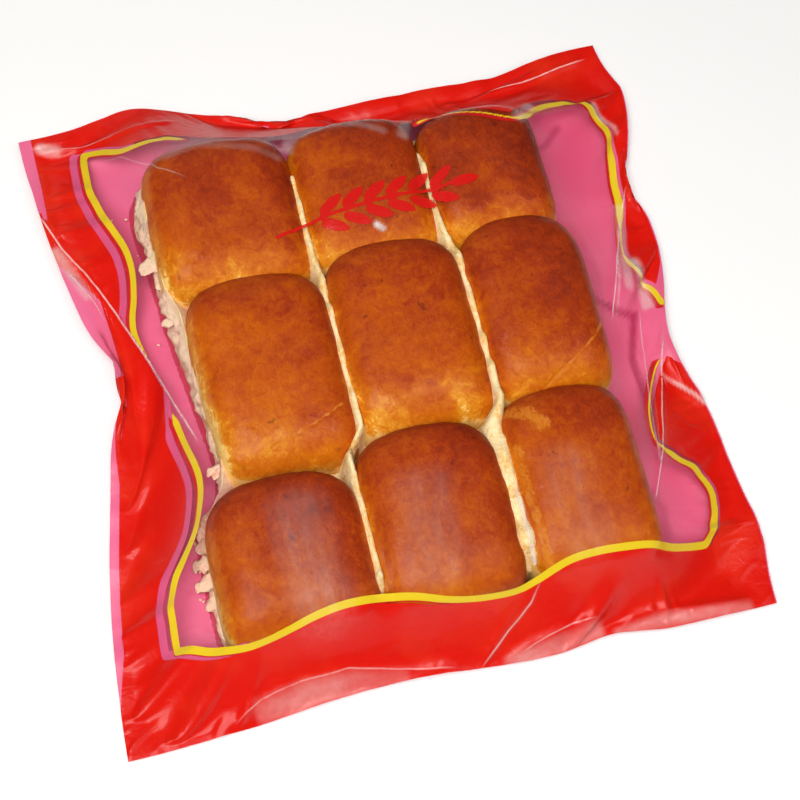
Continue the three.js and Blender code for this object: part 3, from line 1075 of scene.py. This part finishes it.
# Painted glints on the sharp bright edges of creases: path in plan and strength.
glints = [
    (folds["leftPleat"]["path"], 0.5),
    ([(-156, 88), (-150, 76), (-143, 62), (-140, 50)], 0.5),
    ([(154, 73), (143, 50), (129, 18), (114, -15)], 0.45),
    ([(148, 62), (139, 44), (132, 20), (119, -13)], 0.3),
    ([(146, -16), (136, -47), (125, -76), (117, -92), (101, -120)], 0.45),
    ([(139, 0), (129, -41), (121, -71), (115, -94)], 0.3),
    ([(3, -171), (19, -158), (32, -149), (38, -141)], 0.35),
    ([(-118, -171), (-104, -163), (-84, -159), (-60, -158), (-36, -163), (-8, -168)], 0.25),
    ([(18, -170), (34, -165), (52, -161), (66, -161)], 0.25),
    ([(-128, 143), (-114, 140), (-98, 112), (-84, 101)], 0.18),
    ([(-158, 160), (-132, 158), (-108, 160)], 0.25),
    ([(157, 160), (140, 156), (114, 149), (92, 146)], 0.5),
    ([(139, -41), (147, -47), (156, -58)], 0.5),
]
glintLook = {"half": 0.32, "wobble": 2.4, "ends": 10, "reach": 4, "soft": (0.24, -0.12)}

paintedReflection = [  # painted reflection: soft light on the film over the near rolls
    ([(-69, -84), (-70, -104), (-68, -138)], 12, 1.0),
    ([(-8, -86), (-10, -106), (-12, -130)], 12, 0.8),
    ([(63, -90), (61, -108), (64, -132)], 11, 0.7),
]


def wheatGap(points):  # distance outside the drawing of the ear, negative inside it
    gap = pathPlace(points, wheat["stem"])[0] - wheat["stemHalf"]
    start = wheat["stem"][0][0]
    (x0, y0), (x1, y1) = wheat["stem"][1], wheat["stem"][-1]
    slope = math.atan2(y1 - y0, x1 - x0)
    for pair in range(wheat["pairs"]):
        at = start + wheat["first"] + wheat["pitch"] * pair
        for side in (-1, 1) if pair < wheat["pairs"] - 1 else (0,):
            turn = slope + math.radians(wheat["lean"]) * side
            stemY = np.interp(at, *zip(*wheat["stem"]))
            u = points[..., 0] - (at + wheat["stand"] * 0.9)
            v = points[..., 1] - (stemY + side * wheat["stand"])
            length = wheat["grainLength"] / 2
            a = (u * math.cos(turn) + v * math.sin(turn)) / length
            half = wheat["grainHalf"] * (1.15 - 0.35 * a * np.abs(a))  # broader at its foot than at its tip
            b = (v * math.cos(turn) - u * math.sin(turn)) / half
            gap = np.minimum(gap, (np.sqrt(a * a + b * b) - 1) * wheat["grainHalf"])
    return gap


def strokeShare(points, strokes, fade):
    share = np.zeros(points.shape[:2])
    for path, half, strength in strokes:
        near, _, along, length = pathPlace(points, path)
        ends = np.clip(np.minimum(along, length - along) / fade + 1, 0, 1)
        share = np.maximum(share, strength * ends * np.clip(1.5 - near / half, 0, 1))
    return share


def glintMarks(points):
    # Signed distance from the nearest glint, which stays even across it, and how strong that glint is here.
    nearest = np.full(points.shape[:2], 1e9)
    signed = np.full(points.shape[:2], 9.0)
    share = np.zeros(points.shape[:2])
    for path, strength in glints:
        near, side, along, length = pathPlace(points, path)
        ends = np.clip(np.minimum(along, length - along) / glintLook["ends"], 0, 1)
        closer = near < nearest
        nearest = np.where(closer, near, nearest)
        signed = np.where(closer, near * np.sign(side), signed)
        here = strength * ends * np.clip((glintLook["reach"] - near) / 2, 0, 1)
        share = np.where(closer, here, share)
    return signed, share


def borderGap(net, plan, tree):  # distance outside the window of the red border, negative inside it
    gaps = []
    for shift in (printing["borderShift"], printing["borderShiftLeft"]):
        moved = plan + shift
        away = pathGap(net, liftedPath(moved, tree))
        gaps.append(np.where(insidePath(net, moved), -away, away))
    return np.minimum(*gaps) - printing["borderOut"]


def printOn(net):
    # The numbers that the print and the streaks of light are drawn from, for each point of the net.
    glintSide, glintShare = glintMarks(net)
    net = evened(net)
    tree = filmTree(net)
    plan = roundedPath(printing["corners"], {k: printing[k] for k in ("left", "near", "right", "far")})
    underShare = np.clip((plan[:, 1] - printing["underFrom"]) / printing["underOver"], 0, 1)[:, None]
    underShare = (underShare + (plan[:, :1] > 0)).clip(0, 1)
    underShift = np.array(printing["underShiftNear"]) * (1 - underShare)
    underShift = underShift + np.array(printing["underShift"]) * underShare
    _, right, _, left = edgeGaps(*net.shape[:2])
    x, y = net[..., 0], net[..., 1]
    leftMargin = left - np.interp(y, *zip(*printing["leftMargin"]))
    rightMargin = right - np.interp(y, *zip(*printing["rightMargin"]))
    loss = np.interp(y, *zip(*printing["rightLoss"])) * (x > printing["lossBeyond"])
    loss = np.maximum(loss, np.interp(x, *zip(*printing["farLoss"])) * (y > printing["lossBeyond"]))
    marks = {
        "line": pathGap(net, liftedPath(plan, tree)) + loss,
        "under": pathGap(net, liftedPath(plan + underShift, tree)) + np.where(loss > 2, 3, 0),
        "border": borderGap(net, plan, tree),
        "margin": np.minimum(leftMargin, rightMargin),
        "pinkSide": np.clip((printing["pinkFrom"] - x) / printing["pinkFade"], 0, 1),
        "wheat": wheatGap(net),
        "sheen": strokeShare(net, sheen, 3),
        "paintedReflection": strokeShare(net, paintedReflection, 12),
        "glintSide": glintSide,
        "glintShare": glintShare,
    }
    _, side, along, length = pathPlace(net, folds["leftPleat"]["path"])
    under = (side < 0) & (along > 0) & (along < length)
    hidden = np.interp(y, [tuck["lineWholeBelow"], tuck["lineHiddenAbove"]], [0, 4]) * under
    marks["line"] = marks["line"] + hidden
    marks["under"] = marks["under"] + hidden
    tucked = np.interp(y, [tuck["borderFrom"], tuck["borderWholeAbove"]], [0, 12]) * under
    marks["border"] = marks["border"] + tucked
    away, edgeSide, _, _ = pathPlace(net, tuck["borderEdge"])
    marks["margin"] = np.where(under & (y > tuck["marginAbove"]), away * np.sign(edgeSide), marks["margin"])
    return marks


filmLook = {
    "red": srgb(209, 22, 11), "wornRed": srgb(214, 44, 22),
    "yellow": srgb(220, 190, 34),
    "magenta": srgb(227, 104, 144), "deepAndShadedMagenta": srgb(212, 76, 114),
    "underRed": srgb(200, 30, 30),
    "wheatRed": srgb(208, 26, 22),
    "creaseShadeMagenta": srgb(176, 40, 84),
    "contactShadowRed": srgb(176, 22, 52),
    "pinkPaintedLight": srgb(224, 92, 136),
    "sheen": srgb(246, 240, 236), "sheenRoughness": 0.3,
    "paintedReflectionShare": 0.09,
    "inkRoughness": 0.32, "inkSpecular": 0.14, "inkCoat": 0.12, "inkCoatRoughness": 0.1,
    "filmRoughness": (0.14, 0.3), "softShare": 0.35,  # of its two kinds of gloss, and the second's share
    "glance": (5.0, 0.55, 0.005),  # how fast its mirroring rises to the edge, up to what, and the least
    "cover": {"border": 0.98, "wheat": 0.88, "pink": 0.72, "under": 0.85},  # how much each ink, and the painted pink light over the gap, hides
    "shadeToRightFrom": (-120, 120),  # painted shade: the back film is made deeper pink towards the right
    "contactShadowOut": (3.3, 2.6), "contactShadowIn": (-3.0, -1.0), "contactShadowShare": 0.8,
    "backRoughness": 0.4,
}


def printMask(distance, soft=0.12):  # 1 where the distance is negative, with a crisp edge
    return distance.ramp(soft, -soft)


def makeFrontPrint():
    look = filmLook
    material, tree = newMaterial("printedFilm")
    line = readField(tree, "line")
    under = readField(tree, "under")
    border = readField(tree, "border")
    margin = readField(tree, "margin")
    fine = noiseField(tree, 2.2, 3.0, 0.6)
    crinkle = noiseField(tree, 9, 3.0, 0.6, distortion=1.5)
    worn = noiseField(tree, 38, 3.0, 0.55)
    normal = bumped(tree, crinkle * 0.8 + fine * 0.2, 0.22, 0.002)
    yellowShare = printMask(line - printing["lineHalf"])
    redShare = printMask(border * -1.0) * printMask(margin * -1.0)
    tintShare = printMask(under - printing["underHalf"])
    wheatShare = printMask(readField(tree, "wheat"))
    red = mixColor(tree, worn.ramp(0.45, 0.7) * 0.7, look["red"], look["wornRed"])
    red = mixColor(tree, wheatShare, red, look["wheatRed"])
    # painted light: pink over the gap, where the border would shade the back film
    gapLightShare = printMask(border) * printMask(border * -1.0 - printing["pinkWidth"])
    gapLightShare = gapLightShare * printMask(margin * -1.0) * readField(tree, "pinkSide")
    red = mixColor(tree, gapLightShare, red, look["pinkPaintedLight"])
    red = mixColor(tree, tintShare * printMask(border), red, look["underRed"])
    inkColor = mixColor(tree, yellowShare, red, look["yellow"])
    ink = addNode(tree, "ShaderNodeBsdfPrincipled", {
        "Base Color": inkColor, "Normal": normal, "Roughness": look["inkRoughness"],
        "Specular IOR Level": look["inkSpecular"], "Coat Weight": look["inkCoat"],
        "Coat Roughness": look["inkCoatRoughness"]})
    clear = addNode(tree, "ShaderNodeBsdfTransparent")
    gloss, soft = (addNode(tree, "ShaderNodeBsdfGlossy", {"Normal": normal, "Roughness": roughness})
                   for roughness in look["filmRoughness"])
    facing = Field(tree, addNode(tree, "ShaderNodeLayerWeight", {"Normal": normal}).outputs["Facing"])
    power, most, least = look["glance"]
    glance = facing ** power * most + least  # the share that a thin film reflects, the same from both sides
    shine = mixShader(tree, look["softShare"], gloss.outputs[0], soft.outputs[0])
    film = mixShader(tree, glance, clear.outputs[0], shine)
    cover = look["cover"]
    inkShare = (yellowShare.most(redShare) * cover["border"]).most(wheatShare * cover["wheat"])
    inkShare = inkShare.most(gapLightShare * cover["pink"]).most(tintShare * cover["under"])
    printed = mixShader(tree, inkShare, film, ink.outputs[0])
    # painted highlights of creased film, broken up by its small crinkles
    broken = worn.ramp(0.35, 0.6, 0.5, 1.0) * crinkle.ramp(0.3, 0.65, 0.75, 1.0)
    alongRolls = objectPlace(tree, (1, 0.14, 1), 0.12)
    streaks = noiseField(tree, 5, 3.0, 0.6, where=alongRolls).ramp(0.25, 0.8, 0.35, 1.0)
    glow = (readField(tree, "sheen") * broken).most(readField(tree, "paintedReflection") * streaks * look["paintedReflectionShare"])
    wobble = (worn - 0.5) * glintLook["wobble"]
    glint = ((readField(tree, "glintSide") + wobble).abs() - glintLook["half"]).ramp(*glintLook["soft"])
    glow = glow.most(glint * readField(tree, "glintShare") * crinkle.ramp(0.3, 0.6, 0.6, 1.0))
    # a white surface mixed in for the painted sheen, reflections and glints
    white = addNode(tree, "ShaderNodeBsdfPrincipled", {
        "Base Color": look["sheen"], "Normal": normal, "Roughness": look["sheenRoughness"]})
    finishMaterial(tree, mixShader(tree, glow.clamp(), printed, white.outputs[0]))
    return material


# Painted shade in the creases of the back film: path in plan, half width and strength.
backCreaseShade = [
    ([(112, 20), (122, 10), (136, -2), (128, -26), (128, -58)], 1.8, 1.0),
    ([(104, 108), (120, 112), (130, 122)], 2.0, 0.7),
    ([(118, 60), (124, 30), (118, 0)], 3.0, 0.3),
    ([(110, -90), (118, -110), (116, -126)], 2.0, 0.5),
]


def makeBackPrint():
    look = filmLook
    material, tree = newMaterial("backFilm")
    broad = noiseField(tree, 60, 2.0)
    crinkle = noiseField(tree, 12, 2.0, 0.5, distortion=1.0)
    fine = noiseField(tree, 2.4, 3.0, 0.6)
    # random deeper patches, plus painted shade that deepens the pink towards the right
    depth = broad.ramp(0.35, 0.65) * 0.5 + objectAxis(tree, 0).ramp(*look["shadeToRightFrom"]) * 0.5
    color = mixColor(tree, depth, look["magenta"], look["deepAndShadedMagenta"])
    # painted shade along the creases of the back film
    color = mixColor(tree, readField(tree, "shade").clamp(), color, look["creaseShadeMagenta"])
    edge = readField(tree, "contact") + (fine - 0.5) * 2.4  # distance outside the foot of the torn side
    # painted contact shadow on the back film along the foot of the torn side
    contact = edge.ramp(*look["contactShadowOut"]) * edge.ramp(*look["contactShadowIn"])
    color = mixColor(tree, contact * look["contactShadowShare"], color, look["contactShadowRed"])
    shader = addNode(tree, "ShaderNodeBsdfPrincipled", {
        "Base Color": color, "Roughness": look["backRoughness"],
        "Normal": bumped(tree, crinkle, 0.2, 0.002)})
    finishMaterial(tree, shader.outputs[0])
    return material


def backMarks(points):
    foot = [(x, y) for y, x in crumbBlock["leftFoot"]]
    near, side, _, _ = pathPlace(points, foot)
    return {"contact": near * np.sign(side), "shade": strokeShare(points, backCreaseShade, 6)}


def makeBag(net):
    # One closed envelope: the front film on a fine net, and the back film on one twice as coarse.
    rows, columns = net.shape[:2]
    front = np.arange(rows * columns).reshape(rows, columns)
    faces = gridFaces(rows, columns).tolist()
    backNet = net[::2, ::2].copy()
    backNet[:, :, 2] = backHeights(net)[::2, ::2]
    flat = bagNet((columns - 1) // 2, (rows - 1) // 2)
    gap = np.min(edgeGaps(*flat.shape[:2]), 0)
    inward = np.clip((gap - bag["backFlatFrom"]) / bag["backFlatOver"], 0, 1)[..., None]
    backNet[:, :, :2] += (flat[:, :, :2] - backNet[:, :, :2]) * inward
    backRows, backColumns = backNet.shape[:2]
    back = np.empty((backRows, backColumns), int)
    inner = (backRows - 2) * (backColumns - 2)
    back[1:-1, 1:-1] = rows * columns + np.arange(inner).reshape(backRows - 2, backColumns - 2)
    for edge in rims:
        back[edge] = front[::2, ::2][edge]
    for i in range(backRows - 1):
        for j in range(backColumns - 1):
            face = [back[i, j]]
            if j == 0:
                face.append(front[2 * i + 1, 0])
            face.append(back[i + 1, j])
            if i == backRows - 2:
                face.append(front[-1, 2 * j + 1])
            face.append(back[i + 1, j + 1])
            if j == backColumns - 2:
                face.append(front[2 * i + 1, -1])
            face.append(back[i, j + 1])
            if i == 0:
                face.append(front[0, 2 * j + 1])
            faces.append([int(v) for v in face])
    points = np.vstack([net.reshape(-1, 3), backNet[1:-1, 1:-1].reshape(-1, 3)])
    mesh = newMesh("bagFilm", points, faces)
    piece = newObject("bagFilm", mesh, makeFrontPrint(), makeBackPrint())
    materialOf = np.zeros(len(faces), int)
    materialOf[(rows - 1) * (columns - 1):] = 1
    mesh.polygons.foreach_set("material_index", materialOf)
    ends = np.empty(len(mesh.edges) * 2, int)
    mesh.edges.foreach_get("vertices", ends)
    onRim = np.zeros(len(points), bool)
    onRim[np.concatenate([front[edge] for edge in rims])] = True
    sharp = mesh.attributes.new("sharp_edge", "BOOLEAN", "EDGE")
    sharp.data.foreach_set("value", onRim[ends.reshape(-1, 2)].all(1))
    for name, values in printOn(net).items():
        storeNumbers(mesh, name, np.concatenate([values.ravel(), np.zeros(inner)]))
    for name, values in backMarks(points[None]).items():
        storeNumbers(mesh, name, values)
    return piece


bagFilm = makeBag(filmNet)
print("film faces", len(bagFilm.data.polygons))

for piece in rollPieces:
    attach(piece, "root")
for piece in crumbPieces:
    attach(piece, "root")
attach(bagFilm, "root")
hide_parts("bag")

floorLook = {"size": 6.0, "drop": 0.4, "color": srgb(244, 244, 244), "grain": srgb(236, 236, 238)}


def makeFloor():
    material, tree = newMaterial("paleFloor")
    color = mixColor(tree, noiseField(tree, 500, 1.0) * 0.04, floorLook["color"], floorLook["grain"])
    shader = addNode(tree, "ShaderNodeBsdfPrincipled", {"Base Color": color})
    shader.inputs["Roughness"].default_value = 0.7
    finishMaterial(tree, shader.outputs[0])
    half = floorLook["size"] / 2 / mm
    corners = [(x * half, y * half, -floorLook["drop"]) for x, y in ((-1, -1), (1, -1), (1, 1), (-1, 1))]
    newObject("floor", newMesh("floor", corners, [(0, 1, 2, 3)]), material)


# The key light hangs close over the camera, so that the print throws little shadow on the back film.
lights = {
    "key": dict(place=(-0.5, -0.58, 1.82), aim=(0, 0, 0), size=1.2, power=45, color=(1.0, 0.98, 0.95)),
    "fill": dict(place=(0.7, -0.7, 1.6), aim=(0, 0, 0), size=1.2, power=8, color=(0.97, 0.98, 1.0)),
    "back": dict(place=(-0.2, 1.5, 1.2), aim=(0, 0, 0), size=1.2, power=3, color=(1.0, 1.0, 1.0)),
}

studio = {"low": 2.2, "overhead": 0.06, "fadeBetween": (0.1, 0.6)}


def makeLights():
    for name, light in lights.items():
        data = bpy.data.lights.new(name, "AREA")
        data.shape = "SQUARE"
        data.size = light["size"]
        data.energy = light["power"]
        data.color = light["color"]
        lamp = bpy.data.objects.new(name, data)
        bpy.context.scene.collection.objects.link(lamp)
        lamp.location = light["place"]
        towards = Vector(light["aim"]) - lamp.location
        lamp.rotation_euler = towards.to_track_quat("-Z", "Y").to_euler()
    world = bpy.data.worlds.new("studio")
    bpy.context.scene.world = world
    world.use_nodes = True
    tree = world.node_tree
    # bright towards the horizon and dark overhead, so that the flat film mirrors little
    towards = addNode(tree, "ShaderNodeTexCoord").outputs["Generated"]
    height = Field(tree, addNode(tree, "ShaderNodeSeparateXYZ", {"Vector": towards}).outputs[2])
    plug(tree, height.ramp(*studio["fadeBetween"], studio["low"], studio["overhead"]),
         tree.nodes["Background"].inputs["Strength"])


cameraSet = {"azimuth": -24.65, "elevation": 65.84, "roll": 11.31, "fieldOfView": 27.25,
             "distance": 0.833, "aim": (-0.0038, -0.0323, 0.025)}


def makeCamera():
    a, e, r = (math.radians(cameraSet[k]) for k in ("azimuth", "elevation", "roll"))
    back = Vector((math.sin(a) * math.cos(e), -math.cos(a) * math.cos(e), math.sin(e)))
    level = Vector((math.cos(a), math.sin(a), 0))
    steep = back.cross(level)
    right = level * math.cos(r) + steep * math.sin(r)
    up = steep * math.cos(r) - level * math.sin(r)
    data = bpy.data.cameras.new("camera")
    data.sensor_width = 36
    data.lens = 18 / math.tan(math.radians(cameraSet["fieldOfView"]) / 2)
    camera = bpy.data.objects.new("camera", data)
    bpy.context.scene.collection.objects.link(camera)
    place = Vector(cameraSet["aim"]) + back * cameraSet["distance"]
    camera.matrix_world = Matrix.Translation(place) @ Matrix((right, up, back)).transposed().to_4x4()
    bpy.context.scene.camera = camera


makeFloor()
makeLights()
makeCamera()
bpy.context.scene.view_settings.view_transform = "Standard"
bpy.context.scene.view_settings.look = "None"
